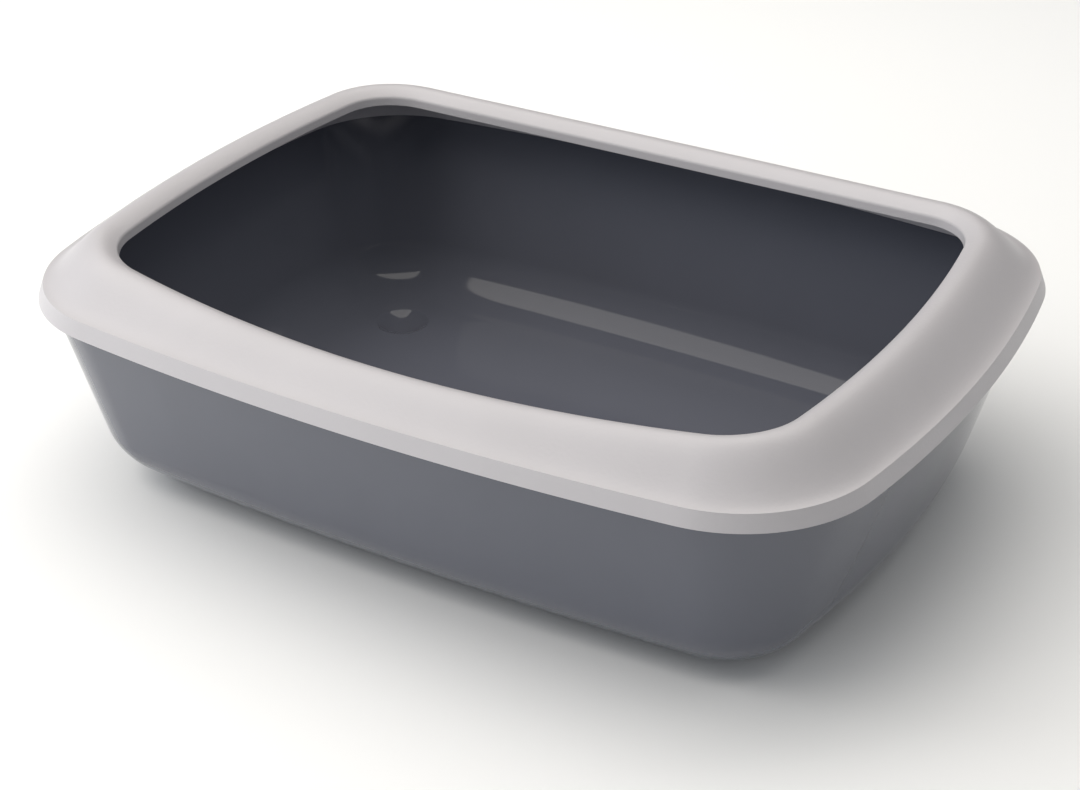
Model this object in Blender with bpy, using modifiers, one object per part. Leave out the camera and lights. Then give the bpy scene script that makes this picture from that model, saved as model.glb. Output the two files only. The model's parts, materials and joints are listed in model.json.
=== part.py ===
"""A litter tray: a deep moulded pan, and a rim that lifts off it.

Metres, +Z up. The origin lies on the ground under the middle of the tray, +X runs along the tray
and +Y across it. The pan stands on four round pads. The rim seats on the pan's flange and
overhangs the inside, so that litter isn't thrown out.
"""

import math
from collections import namedtuple

import bmesh
import bpy
from mathutils import Vector

# A plan outline is four arcs and four rounded corners: each end and each side bows outwards a little.
Outline = namedtuple("Outline", "half_length half_width corner end_arc side_arc")

# The rim's lower edge, which is the widest line of the tray, and the hem band above it
HEM_LENGTH = 0.500
HEM_WIDTH = 0.370
HEM_CORNER = 0.077
HEM_END_ARC = 0.684
HEM_SIDE_ARC = 1.590
HEM_BAND = 0.0085
HEM_FLARE = 0.0032

# The pan. Its base is the outline that its walls would meet the floor in, were there no fillet
PAN_WALL = 0.0022
PAN_HEIGHT = 0.1196
BASE_IN_AT_ENDS = 0.0350
BASE_IN_AT_SIDES = 0.0385
BASE_CORNER = 0.039
BASE_END_ARC = 0.550
BASE_SIDE_ARC = 2.450
FLOOR_FILLET = 0.0400
CORNER_FOLLOWS_SHARE = 0.5
COLLAR_HEIGHT = 0.0085
FLANGE_REACH = 0.0022

# The moulded pads that the pan stands on. Each is a round bowl in the floor with a flat foot
PAD_HEIGHT = 0.0052
PAD_RADIUS = 0.0165
PAD_BOWL = 0.0240
PAD_FROM_FLOOR_END = 0.0292
PAD_FROM_FLOOR_SIDE = 0.0279

# The rim's crest, round the opening: it dips at the middle of the sides, where the cat steps in
RIM_WALL = 0.0020
CREST_IN_AT_ENDS = 0.0398
CREST_IN_AT_SIDES = 0.0330
CREST_CORNER = 0.0427
CREST_END_ARC = 0.696
CREST_SIDE_ARC = 1.044
CREST_RISE = 0.0225
CREST_SIDE_DIP = 0.0111
CREST_END_DIP = 0.0027
LIP_DEPTH = 0.0095
LIP_SLOPE = math.radians(78)
ROLL_RADIUS = 0.0026
ROLL_SLOPE = math.radians(30)
FLARE_SLOPE = math.radians(6)

# The locating wall under the rim, which drops inside the pan's collar
LOCATING_WALL = 0.0018
LOCATING_DEPTH = 0.0070

# Clearances between the rim and the pan
SEAT_GAP = 0.0003
SIDE_GAP = 0.0006

# Steps round a quarter of the tray and along each profile
END_STEPS = 3
CORNER_STEPS = 9
SIDE_STEPS = 5
FILLET_STEPS = 6
ROLL_STEPS = 3
SKIRT_STEPS = 11
BOWL_STEPS = 4
PAD_SIDES = 32

# What a cutter runs past the face it cuts, and how near two points are one point
OVERRUN = 0.0020
SAME_POINT = 0.00002

# Edges that turn more than this stay sharp
SHARP_ANGLE = math.radians(40)

PAN_COLOUR = (0.135, 0.145, 0.170)
RIM_COLOUR = (0.640, 0.620, 0.620)
PAN_ROUGHNESS = 0.30
RIM_ROUGHNESS = 0.38

HALF_LENGTH = HEM_LENGTH / 2
HALF_WIDTH = HEM_WIDTH / 2
HEM = Outline(HALF_LENGTH, HALF_WIDTH, HEM_CORNER, HEM_END_ARC, HEM_SIDE_ARC)
BASE = Outline(
    HALF_LENGTH - BASE_IN_AT_ENDS, HALF_WIDTH - BASE_IN_AT_SIDES, BASE_CORNER, BASE_END_ARC, BASE_SIDE_ARC
)
CREST = Outline(
    HALF_LENGTH - CREST_IN_AT_ENDS, HALF_WIDTH - CREST_IN_AT_SIDES, CREST_CORNER, CREST_END_ARC, CREST_SIDE_ARC
)

# Heights of the rim's lines, worked up from the flange that it seats on
CREASE_HEIGHT = PAN_HEIGHT + SEAT_GAP + RIM_WALL
HEM_HEIGHT = CREASE_HEIGHT - HEM_BAND
CREST_HEIGHT = CREASE_HEIGHT + CREST_RISE
HEM_LEAN = math.atan2(HEM_FLARE, HEM_BAND)


def grown(outline, by):
    """The outline moved outwards all round."""
    return Outline(*(size + by for size in outline))


def blended(inner, outer, share):
    """An outline part of the way from one to another."""
    return Outline(*(low + (high - low) * share for low, high in zip(inner, outer)))


HEM_INSET_AT_FLANGE = HEM_FLARE * (PAN_HEIGHT - HEM_HEIGHT) / HEM_BAND
FLANGE = grown(HEM, -(HEM_INSET_AT_FLANGE + RIM_WALL / math.cos(HEM_LEAN) + SIDE_GAP))
COLLAR = grown(FLANGE, -FLANGE_REACH)
CREASE = grown(HEM, -HEM_FLARE)
LOCATING_FACE = grown(COLLAR, -(PAN_WALL + SIDE_GAP))

# The pan's walls lean out from the base to the collar, and the fillet takes its inset from the floor
WALL_HEIGHT = PAN_HEIGHT - COLLAR_HEIGHT - PAD_HEIGHT
END_LEAN = math.atan2(COLLAR.half_length - BASE.half_length, WALL_HEIGHT)
SIDE_LEAN = math.atan2(COLLAR.half_width - BASE.half_width, WALL_HEIGHT)
LEAN = (END_LEAN + SIDE_LEAN) / 2
FLOOR_INSET = FLOOR_FILLET * (1 - math.sin(LEAN)) / math.cos(LEAN)
PAD_X = BASE.half_length - FLOOR_INSET - PAD_FROM_FLOOR_END
PAD_Y = BASE.half_width - FLOOR_INSET - PAD_FROM_FLOOR_SIDE

# The height of the middle of the ball that a pad's bowl is a slice of
FLOOR_TOP = PAD_HEIGHT + PAN_WALL
BOWL_MIDDLE = FLOOR_TOP + math.sqrt(PAD_BOWL**2 - PAD_RADIUS**2)


def arc(centre, radius, start, stop, steps):
    """Points along an arc, its first and last ones among them."""
    for step in range(steps + 1):
        angle = start + (stop - start) * step / steps
        yield Vector((centre.x + radius * math.cos(angle), centre.y + radius * math.sin(angle)))


def quarter(outline):
    """The outline's points from the +X axis round one corner to the +Y axis."""
    end_centre = Vector((outline.half_length - outline.end_arc, 0))
    side_centre = Vector((0, outline.half_width - outline.side_arc))
    apart = side_centre - end_centre
    end_reach = outline.end_arc - outline.corner
    side_reach = outline.side_arc - outline.corner
    along = (end_reach**2 - side_reach**2 + apart.length_squared) / (2 * apart.length)
    across = math.sqrt(end_reach**2 - along**2)
    way = apart.normalized()
    corner_centre = end_centre + along * way + across * Vector((-way.y, way.x))
    from_end = corner_centre - end_centre
    from_side = corner_centre - side_centre
    turn_in = math.atan2(from_end.y, from_end.x)
    turn_out = math.atan2(from_side.y, from_side.x)
    points = list(arc(end_centre, outline.end_arc, 0, turn_in, END_STEPS))
    points += list(arc(corner_centre, outline.corner, turn_in, turn_out, CORNER_STEPS))[1:]
    points += list(arc(side_centre, outline.side_arc, turn_out, math.pi / 2, SIDE_STEPS))[1:]
    points[0].y = 0
    points[-1].x = 0
    return points


def level_ring(outline, height):
    """One quarter of a level ring of the loft."""
    return [Vector((point.x, point.y, height)) for point in quarter(outline)]


def crest_ring():
    """One quarter of the crest, lower at the middle of the ends and lowest at the middle of the sides."""
    ring = []
    for point in quarter(CREST):
        side_dip = CREST_SIDE_DIP * (1 - (point.x / CREST.half_length) ** 2)
        end_dip = CREST_END_DIP * (1 - (point.y / CREST.half_width) ** 2)
        ring.append(Vector((point.x, point.y, CREST_HEIGHT - side_dip - end_dip)))
    return ring


def skirt_height(crest, crease, share):
    """The skirt's height part of the way out from the crest: a rolled top, then a flare to the crease."""
    reach = (crease.xy - crest.xy).length
    rolled = share * (1 - share) ** 2 * reach * math.tan(ROLL_SLOPE)
    flared = share**2 * (1 - share) * reach * math.tan(FLARE_SLOPE)
    fallen = share**2 * (3 - 2 * share)
    return crest.z + (crease.z - crest.z) * fallen + rolled + flared


def skirt_ring(share):
    """One quarter of the skirt's ring at this share of the way from the crest to the crease."""
    ring = []
    for crest, crease in zip(crest_ring(), level_ring(CREASE, CREASE_HEIGHT)):
        place = crest.xy.lerp(crease.xy, share)
        ring.append(Vector((place.x, place.y, skirt_height(crest, crease, share))))
    return ring


def lowered(ring, outline, drop):
    """The ring's heights, less a drop, over another outline."""
    return [Vector((place.x, place.y, above.z - drop)) for place, above in zip(quarter(outline), ring)]


def pan_rings():
    """The pan's outer face from the edge of the flat floor up to the flange's edge."""
    rings = []
    for step in range(FILLET_STEPS + 1):
        angle = (math.pi / 2 - LEAN) * step / FILLET_STEPS
        height = FLOOR_FILLET * (1 - math.cos(angle))
        wall = blended(BASE, COLLAR, height / WALL_HEIGHT)
        wall_face = height * math.tan(LEAN)
        shift = FLOOR_FILLET * math.sin(angle) - FLOOR_INSET - wall_face
        rounded = grown(wall, shift)._replace(corner=wall.corner + shift * CORNER_FOLLOWS_SHARE)
        rings.append(level_ring(rounded, PAD_HEIGHT + height))
    flange_low = PAN_HEIGHT - PAN_WALL
    rings.append(level_ring(COLLAR, PAN_HEIGHT - COLLAR_HEIGHT))
    rings.append(level_ring(COLLAR, flange_low - FLANGE_REACH / 2))
    rings.append(level_ring(grown(COLLAR, FLANGE_REACH / 2), flange_low))
    rings.append(level_ring(FLANGE, flange_low))
    return rings


def rim_rings():
    """The rim's outer face from the hem up the skirt, over the roll and down to the lip's lower edge."""
    crest = crest_ring()
    rings = [level_ring(HEM, HEM_HEIGHT)]
    for step in range(SKIRT_STEPS + 1):
        rings.append(skirt_ring(1 - step / SKIRT_STEPS))
    for step in range(1, ROLL_STEPS + 1):
        slope = ROLL_SLOPE + (LIP_SLOPE - ROLL_SLOPE) * step / ROLL_STEPS
        inset = ROLL_RADIUS * (math.sin(slope) - math.sin(ROLL_SLOPE))
        drop = ROLL_RADIUS * (math.cos(ROLL_SLOPE) - math.cos(slope))
        rings.append(lowered(crest, grown(CREST, -inset), drop))
    lip_inset = inset + (LIP_DEPTH - drop) / math.tan(LIP_SLOPE)
    rings.append(lowered(crest, grown(CREST, -lip_inset), LIP_DEPTH))
    return rings


def locating_rings():
    """The locating wall's four edges: it grows out of the skirt and drops inside the collar."""
    faces = (LOCATING_FACE, grown(LOCATING_FACE, -LOCATING_WALL))
    edges = []
    for face in faces:
        from_crease = CREASE.half_length - face.half_length
        top = []
        places = zip(quarter(face), crest_ring(), level_ring(CREASE, CREASE_HEIGHT))
        for place, crest, crease in places:
            share = 1 - from_crease / (crease.xy - crest.xy).length
            height = skirt_height(crest, crease, share) - RIM_WALL / 2
            top.append(Vector((place.x, place.y, height)))
        edges.append((top, level_ring(face, PAN_HEIGHT - LOCATING_DEPTH)))
    (outer_top, outer_low), (inner_top, inner_low) = edges
    return [outer_low, outer_top, inner_top, inner_low, outer_low]


def loft(rings, centre=None):
    """A quarter's mesh through the rings, with a flat middle where a centre is given."""
    form = bmesh.new()
    rows = [[form.verts.new(point) for point in ring] for ring in rings]
    if centre is not None:
        middle = form.verts.new(centre)
        form.faces.new([middle] + rows[0][::-1])
    for low, high in zip(rows, rows[1:]):
        for index in range(len(low) - 1):
            form.faces.new((low[index], low[index + 1], high[index + 1], high[index]))
    bmesh.ops.remove_doubles(form, verts=form.verts, dist=SAME_POINT)
    return form


def add_object(name, form, collection, origin):
    """An object made from a mesh that is drawn about the tray's origin."""
    for vert in form.verts:
        vert.co -= origin
    mesh = bpy.data.meshes.new(name)
    form.to_mesh(mesh)
    form.free()
    mesh.shade_smooth()
    mesh.set_sharp_from_angle(angle=SHARP_ANGLE)
    made = bpy.data.objects.new(name, mesh)
    made.location = origin
    collection.objects.link(made)
    return made


def mirror_quarter(quarter_object):
    """Completes a quarter across both middle planes."""
    mirror = quarter_object.modifiers.new("four_quarters", "MIRROR")
    mirror.use_axis = (True, True, False)
    mirror.merge_threshold = SAME_POINT


def thicken(surface, wall):
    """Gives an open surface its wall, on the side away from its faces."""
    solidify = surface.modifiers.new("wall", "SOLIDIFY")
    solidify.thickness = wall
    solidify.offset = -1
    solidify.use_even_offset = True


def combine(target, operand, operation):
    """Adds a Boolean with the exact solver."""
    boolean = target.modifiers.new(operand.name, "BOOLEAN")
    boolean.operation = operation
    boolean.solver = "EXACT"
    boolean.object = operand


def as_guide(form_object):
    """Marks an object that only shapes another one."""
    form_object.hide_render = True
    form_object.display_type = "WIRE"


def bowl_form(radius, low, high):
    """Four equal slices of a ball between two heights, one over each pad."""
    form = bmesh.new()
    first = math.acos((BOWL_MIDDLE - low) / radius)
    last = math.acos((BOWL_MIDDLE - high) / radius)
    for x in (-PAD_X, PAD_X):
        for y in (-PAD_Y, PAD_Y):
            middle = Vector((x, y, BOWL_MIDDLE))
            profile = []
            for step in range(BOWL_STEPS + 1):
                angle = first + (last - first) * step / BOWL_STEPS
                outwards = Vector((math.sin(angle), 0, -math.cos(angle)))
                profile.append(form.verts.new(middle + radius * outwards))
            edges = [form.edges.new(ends) for ends in zip(profile, profile[1:])]
            bmesh.ops.spin(
                form,
                geom=profile + edges,
                cent=middle,
                axis=Vector((0, 0, 1)),
                angle=2 * math.pi,
                steps=PAD_SIDES,
                use_merge=True,
            )
    bmesh.ops.holes_fill(form, edges=[edge for edge in form.edges if edge.is_boundary], sides=0)
    bmesh.ops.recalc_face_normals(form, faces=form.faces)
    return form


def plastic(name, colour, roughness):
    """An opaque moulded plastic."""
    material = bpy.data.materials.new(name)
    material.use_nodes = True
    shader = material.node_tree.nodes["Principled BSDF"]
    shader.inputs["Base Color"].default_value = (*colour, 1)
    shader.inputs["Roughness"].default_value = roughness
    shader.inputs["Metallic"].default_value = 0
    material.diffuse_color = (*colour, 1)
    return material


def build_pan(tray, guides):
    """The pan: a thin shell with a filleted floor, leaning walls, a flange and four pads."""
    ground = Vector((0, 0, 0))
    rings = pan_rings()
    pan = add_object("pan", loft(rings, Vector((0, 0, PAD_HEIGHT))), tray, ground)
    mirror_quarter(pan)
    thicken(pan, PAN_WALL)

    pads = bowl_form(PAD_BOWL + PAN_WALL, 0, PAD_HEIGHT + PAN_WALL / 2)
    pads = add_object("pads", pads, guides, ground)
    as_guide(pads)
    combine(pan, pads, "UNION")

    dimples = bowl_form(PAD_BOWL, PAN_WALL, FLOOR_TOP + OVERRUN)
    dimples = add_object("dimples", dimples, guides, ground)
    as_guide(dimples)
    combine(pan, dimples, "DIFFERENCE")
    pan.data.materials.append(plastic("pan_polypropylene", PAN_COLOUR, PAN_ROUGHNESS))
    return pan


def build_rim(tray, guides):
    """The rim: a thin shell with a locating wall under it, its origin at the seat on the flange."""
    seat = Vector((0, 0, PAN_HEIGHT))
    rim = add_object("rim", loft(rim_rings()), tray, seat)
    mirror_quarter(rim)
    thicken(rim, RIM_WALL)
    wall = add_object("locating_wall", loft(locating_rings()), guides, seat)
    mirror_quarter(wall)
    as_guide(wall)
    combine(rim, wall, "UNION")
    rim.data.materials.append(plastic("rim_polypropylene", RIM_COLOUR, RIM_ROUGHNESS))
    return rim


def main():
    for old in list(bpy.data.objects):
        bpy.data.objects.remove(old, do_unlink=True)
    tray = bpy.data.collections.new("litter_tray")
    guides = bpy.data.collections.new("guides")
    for collection in (tray, guides):
        bpy.context.scene.collection.children.link(collection)
    build_pan(tray, guides)
    build_rim(tray, guides)


main()
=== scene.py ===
# %% [markdown]
# # A litter tray in two mouldings
#
# An open litter tray is a deep pan and a rim that lifts off it. Both are injection mouldings in
# polypropylene: thin, one even wall thickness, round corners, and walls that lean so that the
# moulding leaves its mould. This lesson loads the engineered parts as a frame, models a smooth
# shell for each of them, gives both a moulded plastic, and lights them softly.

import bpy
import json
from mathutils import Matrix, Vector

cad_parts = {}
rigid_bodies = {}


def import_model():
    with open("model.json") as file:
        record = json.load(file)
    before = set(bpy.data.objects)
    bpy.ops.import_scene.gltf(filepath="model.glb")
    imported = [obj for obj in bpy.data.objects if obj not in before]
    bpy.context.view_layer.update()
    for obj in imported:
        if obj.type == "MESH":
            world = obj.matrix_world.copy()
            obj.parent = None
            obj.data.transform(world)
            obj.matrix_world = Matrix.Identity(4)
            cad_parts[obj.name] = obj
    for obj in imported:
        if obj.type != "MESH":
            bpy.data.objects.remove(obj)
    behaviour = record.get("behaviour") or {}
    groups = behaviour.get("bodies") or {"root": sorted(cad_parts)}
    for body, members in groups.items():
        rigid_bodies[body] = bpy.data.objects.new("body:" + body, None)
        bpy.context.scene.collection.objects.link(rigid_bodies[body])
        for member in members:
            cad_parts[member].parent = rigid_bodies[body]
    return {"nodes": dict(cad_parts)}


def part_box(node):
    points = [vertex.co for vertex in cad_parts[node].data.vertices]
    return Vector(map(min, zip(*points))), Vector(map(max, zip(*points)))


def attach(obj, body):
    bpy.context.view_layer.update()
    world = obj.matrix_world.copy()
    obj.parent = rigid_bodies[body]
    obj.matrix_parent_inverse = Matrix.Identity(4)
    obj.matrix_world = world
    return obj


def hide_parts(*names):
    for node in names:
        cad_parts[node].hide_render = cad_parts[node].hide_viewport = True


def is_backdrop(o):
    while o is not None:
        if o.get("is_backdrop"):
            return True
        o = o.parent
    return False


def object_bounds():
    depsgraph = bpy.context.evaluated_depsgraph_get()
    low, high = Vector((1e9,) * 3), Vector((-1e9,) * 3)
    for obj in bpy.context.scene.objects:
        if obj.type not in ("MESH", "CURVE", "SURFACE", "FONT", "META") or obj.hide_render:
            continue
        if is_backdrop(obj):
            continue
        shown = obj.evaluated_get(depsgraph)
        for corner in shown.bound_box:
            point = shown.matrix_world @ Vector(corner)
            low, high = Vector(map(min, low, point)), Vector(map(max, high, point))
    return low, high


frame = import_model()
cad_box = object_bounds()
print("the frame holds", ", ".join(sorted(frame["nodes"])))

# %% [markdown]
# ## Sizes
#
# The frame says how long, wide and high the pan and the rim are. The sizes below are those that
# a box can't say: corner radii, the bow of each side, walls and depths. They are in millimetres,
# and Blender works in metres, so each is multiplied by MM where it is named.

# %% Sizes of the outlines and the walls
import json
import math
from collections import namedtuple

import bmesh
import bpy
from mathutils import Matrix, Vector

MM = 0.001
Outline = namedtuple("Outline", "half_length half_width corner end_arc side_arc")

_, pan_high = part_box("pan")
_, rim_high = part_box("rim")
HALF_LENGTH = rim_high.x
HALF_WIDTH = rim_high.y
PAN_TOP = pan_high.z

HEM = Outline(HALF_LENGTH, HALF_WIDTH, 77 * MM, 684 * MM, 1590 * MM)
CREST = Outline(HALF_LENGTH - 39.8 * MM, HALF_WIDTH - 33.0 * MM, 42.7 * MM, 696 * MM, 1044 * MM)
BASE = Outline(HALF_LENGTH - 35.0 * MM, HALF_WIDTH - 38.5 * MM, 39 * MM, 550 * MM, 2450 * MM)

PAN_WALL = 2.2 * MM
RIM_WALL = 2.0 * MM
SEAT_GAP = 0.3 * MM
SIDE_GAP = 0.6 * MM
print(f"the tray is {2 * HALF_LENGTH / MM:.0f} x {2 * HALF_WIDTH / MM:.0f} mm")
print(f"its pan is {PAN_TOP / MM:.1f} mm high")

# %% [markdown]
# ## An outline from three turns
#
# Seen from above, each ring of the tray is the same kind of line: a long shallow arc across the
# end, a tight one round the corner and a long shallow one along the side. A quarter of it can be
# drawn as by hand: put one point on the X axis and spin it three times, each time about the
# centre of the next arc. The arcs meet without a kink because each centre lies on the line
# through the last centre and the point where the arcs meet.

# %% The arcs of a quarter of an outline
END_STEPS = 14
CORNER_STEPS = 26
SIDE_STEPS = 24


def grown(outline, by):
    """The outline moved outwards all round."""
    return Outline(*(size + by for size in outline))


def blended(inner, outer, share):
    """An outline part of the way from one to another."""
    return Outline(*(low + (high - low) * share for low, high in zip(inner, outer)))


def arcs(outline):
    """Each arc's centre, how far it turns, and its steps: the end, the corner and the side."""
    end_centre = Vector((outline.half_length - outline.end_arc, 0))
    side_centre = Vector((0, outline.half_width - outline.side_arc))
    apart = side_centre - end_centre
    end_reach = outline.end_arc - outline.corner
    side_reach = outline.side_arc - outline.corner
    along = (end_reach**2 - side_reach**2 + apart.length_squared) / (2 * apart.length)
    across = math.sqrt(end_reach**2 - along**2)
    way = apart.normalized()
    corner_centre = end_centre + along * way + across * Vector((-way.y, way.x))
    turn_in = math.atan2(*(corner_centre - end_centre).yx)
    turn_out = math.atan2(*(corner_centre - side_centre).yx)
    return (
        (end_centre, turn_in, END_STEPS),
        (corner_centre, turn_out - turn_in, CORNER_STEPS),
        (side_centre, math.pi / 2 - turn_out, SIDE_STEPS),
    )


for name, outline in (("hem", HEM), ("crest", CREST), ("base", BASE)):
    angles = ", ".join(f"{math.degrees(angle):.1f}" for _, angle, _ in arcs(outline))
    print(f"the {name}'s arcs turn {angles} degrees")

# %% [markdown]
# ## Drawing and bridging
#
# A few helpers do what a modeller's hands would. One draws a quarter of a ring in edit mode,
# another bridges one ring to the next, which is how a skin grows from a row of ribs. A point
# starts as a small plane merged to its middle, because Blender has no primitive that is a single
# point. Spin turns clockwise for a positive angle, so its angle is negated once, in one place.


# %% Start a piece, draw a point and turn it
def edited():
    """The mesh that is being edited."""
    form = bmesh.from_edit_mesh(bpy.context.object.data)
    form.verts.index_update()
    form.verts.ensure_lookup_table()
    return form


def start_piece(name):
    """A new, empty piece in edit mode."""
    bpy.ops.object.select_all(action="DESELECT")
    bpy.ops.mesh.primitive_plane_add(size=MM)
    piece = bpy.context.object
    piece.name = name
    piece.data.name = name
    bpy.ops.object.mode_set(mode="EDIT")
    bpy.ops.mesh.delete(type="VERT")
    print(f"{name} is started")
    return piece


def draw_point(x, y, z):
    """A single point, left selected by itself."""
    bpy.ops.mesh.select_all(action="DESELECT")
    bpy.ops.mesh.primitive_plane_add(size=MM, location=(x, y, z))
    bpy.ops.mesh.merge(type="CENTER")


def draw_out(step):
    """Extrudes what is selected by this step."""
    bpy.ops.mesh.extrude_region_move(TRANSFORM_OT_translate={"value": step})


def turn(centre, angle, steps, axis=(0, 0, 1)):
    """Spins what is selected anticlockwise about an axis."""
    bpy.ops.mesh.spin(steps=steps, angle=-angle, center=centre, axis=axis)


# %% Draw a quarter ring and bridge it to another
def draw_quarter(outline, height):
    """A quarter of a ring. Returns its points' numbers, from the end's middle to the side's."""
    draw_point(outline.half_length, 0, height)
    for centre, angle, steps in arcs(outline):
        turn((*centre, height), angle, steps)
    bpy.ops.mesh.select_linked()
    drawn = [point for point in edited().verts if point.select]
    drawn.sort(key=lambda point: math.atan2(point.co.y, point.co.x))
    return [point.index for point in drawn]


def select_points(numbers):
    """Selects these points, and the edges and faces between them."""
    bpy.ops.mesh.select_all(action="DESELECT")
    form = edited()
    for number in numbers:
        form.verts[number].select = True
    form.select_flush_mode()
    bmesh.update_edit_mesh(bpy.context.object.data)


def bridge(lower, upper, cuts=0):
    """Faces between two rings, with this many rows of points added between them."""
    before = len(edited().verts)
    select_points(lower + upper)
    bpy.ops.mesh.bridge_edge_loops(number_cuts=cuts, interpolation="LINEAR")
    return range(before, len(edited().verts))


# %% Read, lift and mark a ring's points
def places(ring):
    """Where a ring's points are."""
    form = edited()
    return [form.verts[number].co.copy() for number in ring]


def set_heights(ring, heights):
    """Lifts each point of a ring to its height."""
    form = edited()
    for number, height in zip(ring, heights):
        form.verts[number].co.z = height
    bmesh.update_edit_mesh(bpy.context.object.data)


def mark(ring, name, amount):
    """Writes an amount on each point of a ring, for a material to read."""
    form = edited()
    layer = form.verts.layers.float.get(name) or form.verts.layers.float.new(name)
    form.verts.ensure_lookup_table()
    for number in ring:
        form.verts[number][layer] = amount
    bmesh.update_edit_mesh(bpy.context.object.data)


# %% [markdown]
# ## Finishing a shell
#
# Only a quarter of each moulding is drawn. Mirror makes the other three, Solidify gives the skin
# its wall on the inner side, and Bevel takes the sharpness off the edges, as a mould does. Each
# modifier is applied as it is added. Solidify grows a wall on the side away from the faces, so the
# skin must face outwards first. "Make consistent" only makes neighbours agree on an open skin, so
# the skin is turned over when most of it faces the wrong way.


# %% Apply a modifier, mirror a quarter and face a skin outwards
SAME_POINT = 0.02 * MM


def apply_modifier(piece, kind, **settings):
    """Adds a modifier with these settings and applies it."""
    modifier = piece.modifiers.new(kind.lower(), kind)
    for name, value in settings.items():
        setattr(modifier, name, value)
    bpy.ops.object.modifier_apply(modifier=modifier.name)
    print(f"{piece.name}: {kind.lower()} gives {len(piece.data.polygons)} faces")


def mirror_quarter(piece):
    """Leaves edit mode and makes the other three quarters."""
    bpy.ops.object.mode_set(mode="OBJECT")
    apply_modifier(piece, "MIRROR", use_axis=(True, True, False), merge_threshold=SAME_POINT)


def face_outwards(piece, upwards):
    """Makes the faces agree, most of them facing up or most of them facing down."""
    bpy.ops.object.mode_set(mode="EDIT")
    bpy.ops.mesh.select_all(action="SELECT")
    bpy.ops.mesh.normals_make_consistent(inside=False)
    facing = sum(face.normal.z * face.calc_area() for face in edited().faces)
    if (facing > 0) != upwards:
        bpy.ops.mesh.flip_normals()
    bpy.ops.object.mode_set(mode="OBJECT")
    print(f"{piece.name} faces {'up' if upwards else 'down'} and outwards")


# %% Round the edges and smooth the shading
EDGE_ROUND = 0.45 * MM
EDGE_SEGMENTS = 3
SHARP_TURN = math.radians(35)
BROAD_FACE_WEIGHT = 60


def round_edges(piece):
    """Rounds the edges that turn sharply."""
    sharp = {"limit_method": "ANGLE", "angle_limit": SHARP_TURN}
    apply_modifier(piece, "BEVEL", width=EDGE_ROUND, segments=EDGE_SEGMENTS, **sharp)


def smooth(piece):
    """Smooth shading that follows the broad faces and not the small ones at their edges."""
    bpy.ops.object.shade_smooth_by_angle(angle=SHARP_TURN)
    apply_modifier(piece, "WEIGHTED_NORMAL", weight=BROAD_FACE_WEIGHT, keep_sharp=True)


# %% [markdown]
# ## The pan
#
# The pan's outer skin runs from the floor, round a large fillet and up a leaning wall to a short
# upright collar, and then out into a flange that the rim sits on. The fillet's rings are worked
# out from its radius, and their corners tighten more slowly than the ring shrinks, which keeps the
# corner of the floor round. A Bevel could make the fillet too, but it would pinch that corner.

# %% The pan's sizes
FLOOR_FILLET = 40 * MM
CORNER_FOLLOWS_SHARE = 0.5
COLLAR_HEIGHT = 8.5 * MM
FLANGE_REACH = 2.2 * MM
HEM_BAND = 8.5 * MM
HEM_FLARE = 3.2 * MM
PAD_HEIGHT = 5.2 * MM

CREASE_HEIGHT = PAN_TOP + SEAT_GAP + RIM_WALL
HEM_HEIGHT = CREASE_HEIGHT - HEM_BAND
HEM_LEAN = math.atan2(HEM_FLARE, HEM_BAND)
flange_inset = HEM_FLARE * (PAN_TOP - HEM_HEIGHT) / HEM_BAND
FLANGE = grown(HEM, -(flange_inset + RIM_WALL / math.cos(HEM_LEAN) + SIDE_GAP))
COLLAR = grown(FLANGE, -FLANGE_REACH)

wall_height = PAN_TOP - COLLAR_HEIGHT - PAD_HEIGHT
end_lean = math.atan2(COLLAR.half_length - BASE.half_length, wall_height)
side_lean = math.atan2(COLLAR.half_width - BASE.half_width, wall_height)
wall_lean = (end_lean + side_lean) / 2
floor_inset = FLOOR_FILLET * (1 - math.sin(wall_lean)) / math.cos(wall_lean)
print(f"the pan's walls lean {math.degrees(end_lean):.1f} and {math.degrees(side_lean):.1f} degrees")

# %% The rings of the pan, from the floor up
FILLET_STEPS = 36
FLOOR_BORDER = 1.5 * MM


def fillet_ring(share):
    """A ring of the fillet between the floor and the wall: its outline and its height."""
    angle = (math.pi / 2 - wall_lean) * share
    height = FLOOR_FILLET * (1 - math.cos(angle))
    wall = blended(BASE, COLLAR, height / wall_height)
    shift = FLOOR_FILLET * math.sin(angle) - floor_inset - height * math.tan(wall_lean)
    rounded = grown(wall, shift)._replace(corner=wall.corner + shift * CORNER_FOLLOWS_SHARE)
    return rounded, PAD_HEIGHT + height


floor_edge, floor_height = fillet_ring(0)
flange_low = PAN_TOP - PAN_WALL
pan_rings = [(grown(floor_edge, -FLOOR_BORDER), floor_height)]
pan_rings += [fillet_ring(step / FILLET_STEPS) for step in range(FILLET_STEPS + 1)]
pan_rings += [(COLLAR, PAN_TOP - COLLAR_HEIGHT), (COLLAR, flange_low), (FLANGE, flange_low)]
print(f"the flat of the floor is {2 * floor_edge.half_length / MM:.0f} mm long")

# %% Draw the pan's quarter skin
pan_shell = start_piece("pan_shell")
drawn = [draw_quarter(outline, height) for outline, height in pan_rings]
for lower, upper in zip(drawn, drawn[1:]):
    bridge(lower, upper)
print(f"the pan's quarter skin has {len(drawn)} rings of {len(drawn[0])} points")

# %% [markdown]
# The pan stands on four moulded pads. Seen from inside, each is a round bowl in the floor. Its
# profile is drawn as a foot, a turn up the bowl and a smaller turn back into the floor, and is
# then spun once round the pad's axis.

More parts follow.
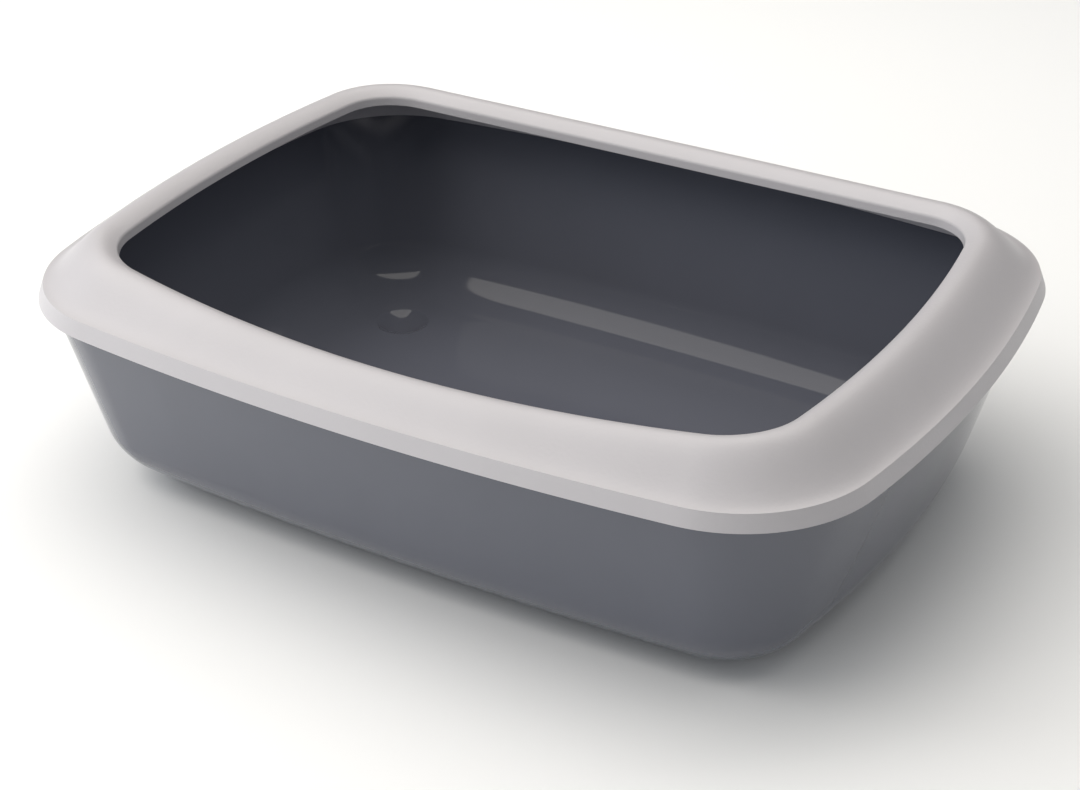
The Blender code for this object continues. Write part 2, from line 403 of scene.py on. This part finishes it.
# %% The profile of a pad
PAD_RADIUS = 16.5 * MM
PAD_BOWL = 27 * MM
PAD_BLEND = 0.6 * MM
PAD_BORDER = 1.0 * MM
PAD_FROM_FLOOR_END = 29.2 * MM
PAD_FROM_FLOOR_SIDE = 27.9 * MM

PAD_X = floor_edge.half_length - PAD_FROM_FLOOR_END
PAD_Y = floor_edge.half_width - PAD_FROM_FLOOR_SIDE
outer_bowl = PAD_BOWL + PAN_WALL
bowl_centre = PAD_HEIGHT + PAN_WALL + math.sqrt(PAD_BOWL**2 - PAD_RADIUS**2)
foot_turn = math.acos(bowl_centre / outer_bowl)
foot_radius = outer_bowl * math.sin(foot_turn)
blend_turn = math.acos((bowl_centre - PAD_HEIGHT + PAD_BLEND) / (outer_bowl + PAD_BLEND))
blend_x = PAD_X + (outer_bowl + PAD_BLEND) * math.sin(blend_turn)
print(f"a pad's foot is {2 * foot_radius / MM:.1f} mm across")

# %% Draw the profile and spin it
BOWL_STEPS = 12
BLEND_STEPS = 8
PAD_SPIN_STEPS = 64

draw_point(PAD_X, PAD_Y, 0)
draw_out((foot_radius, 0, 0))
turn((PAD_X, PAD_Y, bowl_centre), foot_turn - blend_turn, BOWL_STEPS, axis=(0, 1, 0))
turn((blend_x, PAD_Y, PAD_HEIGHT - PAD_BLEND), blend_turn, BLEND_STEPS, axis=(0, 1, 0))
draw_out((PAD_BORDER, 0, 0))
bpy.ops.mesh.select_linked()
turn((PAD_X, PAD_Y, 0), 2 * math.pi, PAD_SPIN_STEPS)
bpy.ops.mesh.select_all(action="SELECT")
bpy.ops.mesh.remove_doubles(threshold=SAME_POINT)
print(f"the quarter skin and its pad have {len(edited().verts)} points")

# %% [markdown]
# The flat of the floor is what is left between its edge and the four pads. Once the quarters are
# mirrored, those five loops are the only open edges at the floor's height, and Fill closes the
# face between them with the pads as holes in it.

# %% Fill the floor and give the pan its wall
mirror_quarter(pan_shell)
bpy.ops.object.mode_set(mode="EDIT")
bpy.ops.mesh.select_all(action="DESELECT")
form = edited()
for edge in form.edges:
    level = all(abs(point.co.z - PAD_HEIGHT) < SAME_POINT for point in edge.verts)
    edge.select = level and edge.is_boundary
bmesh.update_edit_mesh(pan_shell.data)
bpy.ops.mesh.fill(use_beauty=True)
face_outwards(pan_shell, upwards=False)
apply_modifier(pan_shell, "SOLIDIFY", thickness=PAN_WALL, offset=-1, use_even_offset=True)
round_edges(pan_shell)
smooth(pan_shell)

# %% [markdown]
# ## The rim
#
# The rim's skin starts at the short lip that hangs inside the opening, rolls over to a sloping
# shoulder, climbs to the crest, runs out and down the wide skirt to a crease, and ends in the hem.
# The crest dips at the middle of each side, where the cat steps in, and a little at the ends. At
# first the skirt is a straight ramp between crest and crease, with rows of points on it, and each
# row is then lifted to its height.

# %% The rim's sizes
CREST_RISE = 22.4 * MM
CREST_SIDE_DIP = 11.1 * MM
CREST_END_DIP = 2.7 * MM
CREST_SLOPE = math.radians(30)
FLARE_SLOPE = math.radians(6)
SKIRT_ROWS = 30
HANDLED_SHARE = 0.45
CREASE = grown(HEM, -HEM_FLARE)
CREST_HEIGHT = CREASE_HEIGHT + CREST_RISE


def crest_height(place):
    """The crest's height over a place on it."""
    side_dip = CREST_SIDE_DIP * (1 - (place.x / CREST.half_length) ** 2)
    end_dip = CREST_END_DIP * (1 - (place.y / CREST.half_width) ** 2)
    return CREST_HEIGHT - side_dip - end_dip


def skirt_height(crest, crease, share):
    """The height part of the way out: a cubic that holds the slope at the crest and the crease."""
    reach = (crease.xy - crest.xy).length
    rolled = share * (1 - share) ** 2 * reach * math.tan(CREST_SLOPE)
    flared = share**2 * (1 - share) * reach * math.tan(FLARE_SLOPE)
    fallen = share**2 * (3 - 2 * share)
    return crest.z + (crease.z - crest.z) * fallen + rolled + flared


print(f"the hem's foot is {HEM_HEIGHT / MM:.1f} mm high, and the crease {CREASE_HEIGHT / MM:.1f} mm")

# %% Draw the hem, the crease and the crest
rim_shell = start_piece("rim_shell")
hem_ring = draw_quarter(HEM, HEM_HEIGHT)
crease_ring = draw_quarter(CREASE, CREASE_HEIGHT)
crest_ring = draw_quarter(CREST, CREST_HEIGHT)
bridge(hem_ring, crease_ring)
skirt = bridge(crease_ring, crest_ring, cuts=SKIRT_ROWS)

crest_line = places(crest_ring)
for point in crest_line:
    point.z = crest_height(point)
crease_line = places(crease_ring)
highest = max(point.z for point in crest_line)
lowest = min(point.z for point in crest_line)
print(f"the crest rises from {lowest / MM:.1f} mm at the sides to {highest / MM:.1f} mm")

# %% Lift the skirt's rows
form = edited()
rows = {}
for number in skirt:
    share = (CREST_HEIGHT - form.verts[number].co.z) / CREST_RISE
    rows.setdefault(round(share * (SKIRT_ROWS + 1)), []).append(number)
for row, numbers in rows.items():
    numbers.sort(key=lambda number: math.atan2(form.verts[number].co.y, form.verts[number].co.x))
    share = row / (SKIRT_ROWS + 1)
    lifted = [skirt_height(crest, crease, share) for crest, crease in zip(crest_line, crease_line)]
    set_heights(numbers, lifted)
    mark(numbers, "handled", max(0, 1 - share / HANDLED_SHARE))
set_heights(crest_ring, [point.z for point in crest_line])
mark(crest_ring, "handled", 1)
print(f"the skirt has {len(rows)} rows of {len(numbers)} points")

# %% [markdown]
# Inside the crest the skin goes on as one bent line that is drawn all round the opening. A wide arc
# makes the shoulder, a tight one makes the roll, and a straight step makes the lip.

# %% The shoulder, the roll and the lip as one line
SHOULDER_WIDTH = 4.0 * MM
SHOULDER_SLOPE = math.radians(40)
SHOULDER_STEPS = 6
ROLL_RADIUS = 2.6 * MM
ROLL_STEPS = 8
LIP_SLOPE = math.radians(86)
LIP_DEPTH = 8.4 * MM


def turned(radius, start, stop, steps):
    """How far in and how far down an arc goes between two slopes, step by step."""
    for step in range(1, steps + 1):
        slope = start + (stop - start) * step / steps
        inward = radius * (math.sin(slope) - math.sin(start))
        yield inward, radius * (math.cos(start) - math.cos(slope))


shoulder_radius = SHOULDER_WIDTH / (math.sin(SHOULDER_SLOPE) - math.sin(CREST_SLOPE))
inner_line = list(turned(shoulder_radius, CREST_SLOPE, SHOULDER_SLOPE, SHOULDER_STEPS))
shoulder_inset, shoulder_drop = inner_line[-1]
for inward, down in turned(ROLL_RADIUS, SHOULDER_SLOPE, LIP_SLOPE, ROLL_STEPS):
    inner_line.append((shoulder_inset + inward, shoulder_drop + down))
roll_inset, roll_drop = inner_line[-1]
lip_inset = roll_inset + (LIP_DEPTH - roll_drop) / math.tan(LIP_SLOPE)
print(f"the roll ends {roll_inset / MM:.1f} mm in and {roll_drop / MM:.1f} mm down")


# %% Draw that line round the opening
def lowered_ring(outline, drop):
    """A quarter ring that lies this far under the crest all round."""
    ring = draw_quarter(outline, CREST_HEIGHT)
    set_heights(ring, [point.z - drop for point in crest_line])
    return ring


last = crest_ring
for inset, drop in inner_line:
    ring = lowered_ring(grown(CREST, -inset), drop)
    bridge(last, ring)
    mark(ring, "handled", 1)
    last = ring
bridge(last, lowered_ring(grown(CREST, -lip_inset), LIP_DEPTH))
print(f"{len(inner_line) + 1} rings lie inside the crest")

# %% Mirror the rim and give it its wall
mirror_quarter(rim_shell)
face_outwards(rim_shell, upwards=True)
apply_modifier(rim_shell, "SOLIDIFY", thickness=RIM_WALL, offset=-1, use_even_offset=True)
round_edges(rim_shell)

# %% [markdown]
# Under the skirt a thin wall drops inside the pan's collar and keeps the rim in its place. It is
# drawn as four rings that are bridged into a closed band, and a Boolean joins it to the rim. Both
# have points in the planes of the mirror, where the Boolean leaves a few slivers without any width.
# Dissolving what is degenerate takes them away.

# %% The locating wall's sizes
LOCATING_WALL = 1.8 * MM
LOCATING_DEPTH = 7.0 * MM
OUTER_FACE = grown(COLLAR, -(PAN_WALL + SIDE_GAP))
INNER_FACE = grown(OUTER_FACE, -LOCATING_WALL)
wall_foot = PAN_TOP - LOCATING_DEPTH


def wall_top(face):
    """A quarter ring that runs inside the thickness of the skirt."""
    ring = draw_quarter(face, CREST_HEIGHT)
    from_crease = CREASE.half_length - face.half_length
    heights = []
    for crest, crease in zip(crest_line, crease_line):
        share = 1 - from_crease / (crease.xy - crest.xy).length
        heights.append(skirt_height(crest, crease, share) - RIM_WALL / 2)
    set_heights(ring, heights)
    return ring


print(f"the locating wall's foot is {wall_foot / MM:.1f} mm above the ground")

# %% Draw the locating wall
locating_wall = start_piece("locating_wall")
band = [draw_quarter(OUTER_FACE, wall_foot), wall_top(OUTER_FACE)]
band += [wall_top(INNER_FACE), draw_quarter(INNER_FACE, wall_foot)]
for one, other in zip(band, band[1:] + band[:1]):
    bridge(one, other)
mirror_quarter(locating_wall)
bpy.ops.object.mode_set(mode="EDIT")
bpy.ops.mesh.select_all(action="SELECT")
bpy.ops.mesh.normals_make_consistent(inside=False)
bpy.ops.object.mode_set(mode="OBJECT")
round_edges(locating_wall)

# %% Join it to the rim
NO_WIDTH = 0.001 * MM

bpy.context.view_layer.objects.active = rim_shell
apply_modifier(rim_shell, "BOOLEAN", operation="UNION", solver="EXACT", object=locating_wall)
bpy.data.objects.remove(locating_wall)
bpy.ops.object.select_all(action="DESELECT")
rim_shell.select_set(True)
bpy.ops.object.mode_set(mode="EDIT")
bpy.ops.mesh.select_all(action="SELECT")
bpy.ops.mesh.dissolve_degenerate(threshold=NO_WIDTH)
bpy.ops.object.mode_set(mode="OBJECT")
print(f"rim_shell: {len(rim_shell.data.polygons)} faces are left without the slivers")
smooth(rim_shell)

# %% [markdown]
# ## Moulded polypropylene
#
# Both mouldings are polypropylene with colour mixed into it, so the colour goes right through and
# nothing is painted. A real moulding is never one flat colour. The pigment swirls faintly where the
# melt flowed, the walls are not quite flat because the plastic shrinks as it cools, and the steel
# of the mould leaves its own grain: polished for the pan, so that it wipes clean, and finely blasted
# for the rim, so that it doesn't slip in the hand. Each of these is a noise of its own size.


# %% Turn a hex colour into linear light
def linear(code):
    """An sRGB hex colour as linear red, green, blue and alpha, by the sRGB standard's curve."""
    channels = [int(code[start:start + 2], 16) / 255 for start in (0, 2, 4)]
    curve = [c / 12.92 if c <= 0.04045 else ((c + 0.055) / 1.055) ** 2.4 for c in channels]
    return (*curve, 1)


# %% [markdown]
# A material is a tree of nodes. One helper adds a node of any kind, and takes each of its inputs as
# a number, a colour or another node's output, so that a node and its links are written in one place.


# %% Start a material and add a node
def new_material(name):
    """A material whose node tree is empty, and that tree."""
    material = bpy.data.materials.new(name)
    material.use_nodes = True
    material.node_tree.nodes.clear()
    return material, material.node_tree


def add_node(tree, kind, inputs, **settings):
    """Adds a node, with its settings, and sets or links its inputs."""
    added = tree.nodes.new(f"ShaderNode{kind}")
    for name, value in settings.items():
        setattr(added, name, value)
    for name, value in inputs.items():
        if isinstance(value, bpy.types.NodeSocket):
            tree.links.new(value, added.inputs[name])
        else:
            added.inputs[name].default_value = value
    return added


# %% [markdown]
# ### The two finishes
#
# The mould's grain is far finer than a millimetre on the real tray. It is drawn 2 mm apart here,
# because anything finer would not show. On the blasted rim it is a tenth of a millimetre deep, which
# makes the sheen a little uneven. On the polished pan it is so shallow that only the gloss feels it.
# The waves in the walls are 60 mm long and a twentieth of a millimetre high, which is enough to bend
# a reflection a little. A swirl of pigment is about as wide as a hand, and a patch of gloss a third
# of that. A noise seldom leaves the middle of its range, so only that part is spread over the tones
# and the roughness.

# %% The sizes of the patterns
SWIRL_SIZE = 90 * MM
SWIRL_DETAIL = 4
SWIRL_CURL = 1.5
WAVE_SIZE = 60 * MM
WAVE_DETAIL = 1
WAVE_HEIGHT = 0.05 * MM
GRAIN_SIZE = 2.0 * MM
GRAIN_DETAIL = 2
GLOSS_SIZE = 30 * MM
GLOSS_DETAIL = 3
NOISE_RANGE = {"From Min": 0.3, "From Max": 0.7}
POLYPROPYLENE_IOR = 1.49
Finish = namedtuple("Finish", "name colour swirl smoothest roughest grain_depth")

# Polypropylene from a polished mould: dark blue-grey, with clear, slightly bent reflections.
PAN_FINISH = Finish("moulded_polypropylene_slate", "5d5f69", 0.02, 0.055, 0.085, 0.003 * MM)
# Polypropylene from a blasted mould: a pale warm grey that spreads the light into a soft sheen.
RIM_FINISH = Finish("moulded_polypropylene_pale_grey", "bebbbe", 0.012, 0.34, 0.42, 0.10 * MM)
for finish in (PAN_FINISH, RIM_FINISH):
    print(f"{finish.name} has a roughness of {finish.smoothest} to {finish.roughest}")


# %% A moulded polypropylene
def moulded(finish):
    """A moulded plastic, its node tree, its shader, and how rough it is before any wear."""
    material, tree = new_material(finish.name)
    place = add_node(tree, "TexCoord", {}).outputs["Object"]
    swirl_sizes = {"Scale": 1 / SWIRL_SIZE, "Detail": SWIRL_DETAIL, "Distortion": SWIRL_CURL}
    swirl = add_node(tree, "TexNoise", {"Vector": place, **swirl_sizes})
    wave_sizes = {"Scale": 1 / WAVE_SIZE, "Detail": WAVE_DETAIL}
    wave = add_node(tree, "TexNoise", {"Vector": place, **wave_sizes})
    grain_sizes = {"Scale": 1 / GRAIN_SIZE, "Detail": GRAIN_DETAIL}
    grain = add_node(tree, "TexNoise", {"Vector": place, **grain_sizes})
    gloss_sizes = {"Scale": 1 / GLOSS_SIZE, "Detail": GLOSS_DETAIL}
    gloss = add_node(tree, "TexNoise", {"Vector": place, **gloss_sizes})

    tones = {**NOISE_RANGE, "To Min": 1 - finish.swirl, "To Max": 1 + finish.swirl}
    tone = add_node(tree, "MapRange", {"Value": swirl.outputs["Fac"], **tones})
    colour = add_node(tree, "HueSaturation", {
        "Value": tone.outputs["Result"],
        "Color": linear(finish.colour),
    })
    waves = add_node(tree, "Bump", {"Height": wave.outputs["Fac"], "Distance": WAVE_HEIGHT})
    surface = add_node(tree, "Bump", {
        "Height": grain.outputs["Fac"],
        "Distance": finish.grain_depth,
        "Normal": waves.outputs["Normal"],
    })
    amounts = {**NOISE_RANGE, "To Min": finish.smoothest, "To Max": finish.roughest}
    patches = add_node(tree, "MapRange", {"Value": gloss.outputs["Fac"], **amounts})
    roughness = patches.outputs["Result"]
    shader = add_node(tree, "BsdfPrincipled", {
        "Base Color": colour.outputs["Color"],
        "Roughness": roughness,
        "IOR": POLYPROPYLENE_IOR,
        "Normal": surface.outputs["Normal"],
    })
    add_node(tree, "OutputMaterial", {"Surface": shader.outputs["BSDF"]})
    print(f"{material.name} has {len(tree.nodes)} nodes before any wear")
    return material, tree, shader, roughness


# %% [markdown]
# ### Wear
#
# Wear follows use. The pan slides about on its four pads, so their feet are scuffed dull: the
# object's own Z says where they are. The rim is picked up by its crest, and hands slowly polish the
# blasted grain there. The crest was marked while it was drawn, and the material reads that mark.

# %% The pan's plastic, scuffed at its feet
SCUFF_HEIGHT = 0.5 * MM
SCUFFED = 0.5

pan_plastic, tree, shader, roughness = moulded(PAN_FINISH)
place = add_node(tree, "TexCoord", {}).outputs["Object"]
height = add_node(tree, "SeparateXYZ", {"Vector": place}).outputs["Z"]
foot = {"From Min": 0, "From Max": SCUFF_HEIGHT, "To Min": SCUFFED, "To Max": 0}
scuffs = add_node(tree, "MapRange", {"Value": height, **foot}).outputs["Result"]
worn = add_node(tree, "Math", {0: roughness, 1: scuffs}, operation="MAXIMUM")
tree.links.new(worn.outputs["Value"], shader.inputs["Roughness"])
pan_shell.data.materials.append(pan_plastic)
print(f"pan_shell is {pan_plastic.name}, with {len(tree.nodes)} nodes")

# %% The rim's plastic, polished along its crest
POLISHED = 0.06

rim_plastic, tree, shader, roughness = moulded(RIM_FINISH)
handled = add_node(tree, "Attribute", {}, attribute_name="handled").outputs["Fac"]
polish = add_node(tree, "Math", {0: handled, 1: POLISHED}, operation="MULTIPLY").outputs["Value"]
worn = add_node(tree, "Math", {0: roughness, 1: polish}, operation="SUBTRACT")
tree.links.new(worn.outputs["Value"], shader.inputs["Roughness"])
rim_shell.data.materials.append(rim_plastic)
print(f"rim_shell is {rim_plastic.name}, with {len(tree.nodes)} nodes")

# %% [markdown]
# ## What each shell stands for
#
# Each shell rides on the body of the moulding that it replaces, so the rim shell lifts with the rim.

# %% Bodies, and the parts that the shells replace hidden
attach(pan_shell, "pan")
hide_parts("pan")
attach(rim_shell, "rim")
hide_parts("rim")
print(f"{pan_shell.name} stands for the pan and {rim_shell.name} for the rim")

# %% [markdown]
# ## The camera
#
# The camera's place, lens and slight roll were found by fitting the tray's outlines to the
# photograph. They are written as an azimuth, an elevation and a distance from a point in the tray,
# because those can be read and changed with ease. The camera looks along its own minus Z, so its
# three axes are "away" from the tray, "right" and "up", and the roll turns the last two a little.

# %% The camera's three axes
CAMERA_AZIMUTH = math.radians(31.318)
CAMERA_ELEVATION = math.radians(29.903)
CAMERA_ROLL = math.radians(-0.632)

away = Vector((
    math.sin(CAMERA_AZIMUTH) * math.cos(CAMERA_ELEVATION),
    -math.cos(CAMERA_AZIMUTH) * math.cos(CAMERA_ELEVATION),
    math.sin(CAMERA_ELEVATION),
))
right = Vector((math.cos(CAMERA_AZIMUTH), math.sin(CAMERA_AZIMUTH), 0))
up = away.cross(right)
tilted_right = right * math.cos(CAMERA_ROLL) + up * math.sin(CAMERA_ROLL)
tilted_up = up * math.cos(CAMERA_ROLL) - right * math.sin(CAMERA_ROLL)
axes = Matrix((tilted_right, tilted_up, away)).transposed()
print("away from the tray is", *(round(value, 3) for value in away))

# %% Make the camera
CAMERA_DISTANCE = 1190.9 * MM
CAMERA_TARGET = Vector((-1.23, -0.75, 42.73)) * MM
LENS = 71.63

camera_data = bpy.data.cameras.new("camera")
camera_data.lens = LENS
camera = bpy.data.objects.new("camera", camera_data)
bpy.context.scene.collection.objects.link(camera)
camera_place = CAMERA_TARGET + away * CAMERA_DISTANCE
camera.matrix_world = Matrix.LocRotScale(camera_place, axes.to_quaternion(), None)
bpy.context.scene.camera = camera
print("the camera is at", *(round(value / MM) for value in camera_place), "mm")

# %% [markdown]
# ## Floor and light
#
# The tray stands on a plain pale floor. One large softbox hangs above it, behind and to the left.
# Its front edge is what ends the long bright strip, the crescent and the dot in the pan's glossy
# bends, and the rim's inner edge ends them on the other side, so its place was worked out from those
# highlights. Nothing else may be mirrored there, so the fills and the room's light reach matt
# shading only: that is what turning off a light's glossy visibility does. The lights above are a
# little warm, and the low fills and the room a little cool, which keeps the floor of the pan neutral
# and its outside bluish. Places and sizes are in metres here, and powers in watts.

# %% The floor
FLOOR_SIZE = 60
FLOOR_ROUGHNESS = 0.9

bpy.ops.object.select_all(action="DESELECT")
bpy.ops.mesh.primitive_plane_add(size=FLOOR_SIZE)
studio_floor = bpy.context.object
studio_floor.name = "studio_floor"
# Matt white paint, which only catches the shadow.
floor_paint, tree = new_material("matt_painted_floor")
paint = {"Base Color": linear("f7f7f7"), "Roughness": FLOOR_ROUGHNESS}
shader = add_node(tree, "BsdfPrincipled", paint)
add_node(tree, "OutputMaterial", {"Surface": shader.outputs["BSDF"]})
studio_floor.data.materials.append(floor_paint)
studio_floor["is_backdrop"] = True
print(f"{studio_floor.name} is {FLOOR_SIZE} m wide")


# %% A softbox
def softbox(name, place, size, power, colour, aim):
    """A rectangular area light at a place, turned towards a point, that lights matt shading only."""
    light = bpy.data.lights.new(name, "AREA")
    light.shape = "RECTANGLE"
    light.size, light.size_y = size
    light.energy = power
    light.color = colour
    lamp = bpy.data.objects.new(name, light)
    lamp.location = place
    lamp.rotation_euler = (Vector(aim) - Vector(place)).to_track_quat("-Z", "Y").to_euler()
    lamp.visible_glossy = False
    bpy.context.scene.collection.objects.link(lamp)
    print(f"{name} gives {power} W")
    return lamp


# %% The overhead softbox, which the pan mirrors
WARM_WHITE = (1.0, 0.96, 0.90)
OVERHEAD_PLACE = (-0.64, 0.31, 1.5)
OVERHEAD_AIM = (-0.64, 0.31, 0)
OVERHEAD_SIZE = (2.78, 1.5)
OVERHEAD_POWER = 19.3
OVERHEAD_TURN = math.radians(41)

overhead = softbox(
    "overhead_softbox", OVERHEAD_PLACE, OVERHEAD_SIZE, OVERHEAD_POWER, WARM_WHITE, OVERHEAD_AIM
)
overhead.rotation_euler.z = OVERHEAD_TURN
overhead.visible_glossy = True

# %% The fills
COOL_WHITE = (0.93, 0.97, 1.0)
TRAY_MIDDLE = (0, 0, 0.05)
Fill = namedtuple("Fill", "name place size power colour")
FILLS = (
    Fill("left_fill", (-1.9, -0.5, 0.7), (1.4, 1.2), 12.5, COOL_WHITE),
    Fill("low_front_fill", (-1.1, -1.8, 0.42), (1.6, 0.7), 9.1, COOL_WHITE),
    Fill("high_front_fill", (-0.9, -0.9, 1.4), (1.2, 1.2), 9.4, WARM_WHITE),
    Fill("top_fill", (0.2, -0.3, 1.6), (1.4, 1.4), 6.9, WARM_WHITE),
    Fill("back_right_fill", (1.4, 0.9, 1.1), (1.0, 1.0), 1.5, WARM_WHITE),
)

for fill in FILLS:
    softbox(*fill, TRAY_MIDDLE)

# %% The light of the room
ROOM_LIGHT = 0.31

studio_world = bpy.data.worlds.new("studio_world")
bpy.context.scene.world = studio_world
studio_world.use_nodes = True
studio_world.cycles_visibility.glossy = False
background = studio_world.node_tree.nodes["Background"].inputs
background["Color"].default_value = (*COOL_WHITE, 1)
background["Strength"].default_value = ROOM_LIGHT
bpy.context.scene.view_settings.view_transform = "Standard"
print(f"the room's light has a strength of {ROOM_LIGHT}")

# %% Sizes and the end
visual_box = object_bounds()
for label, box in (("CAD", cad_box), ("visual", visual_box)):
    print(label, *(round(value / MM, 2) for corner in box for value in corner))
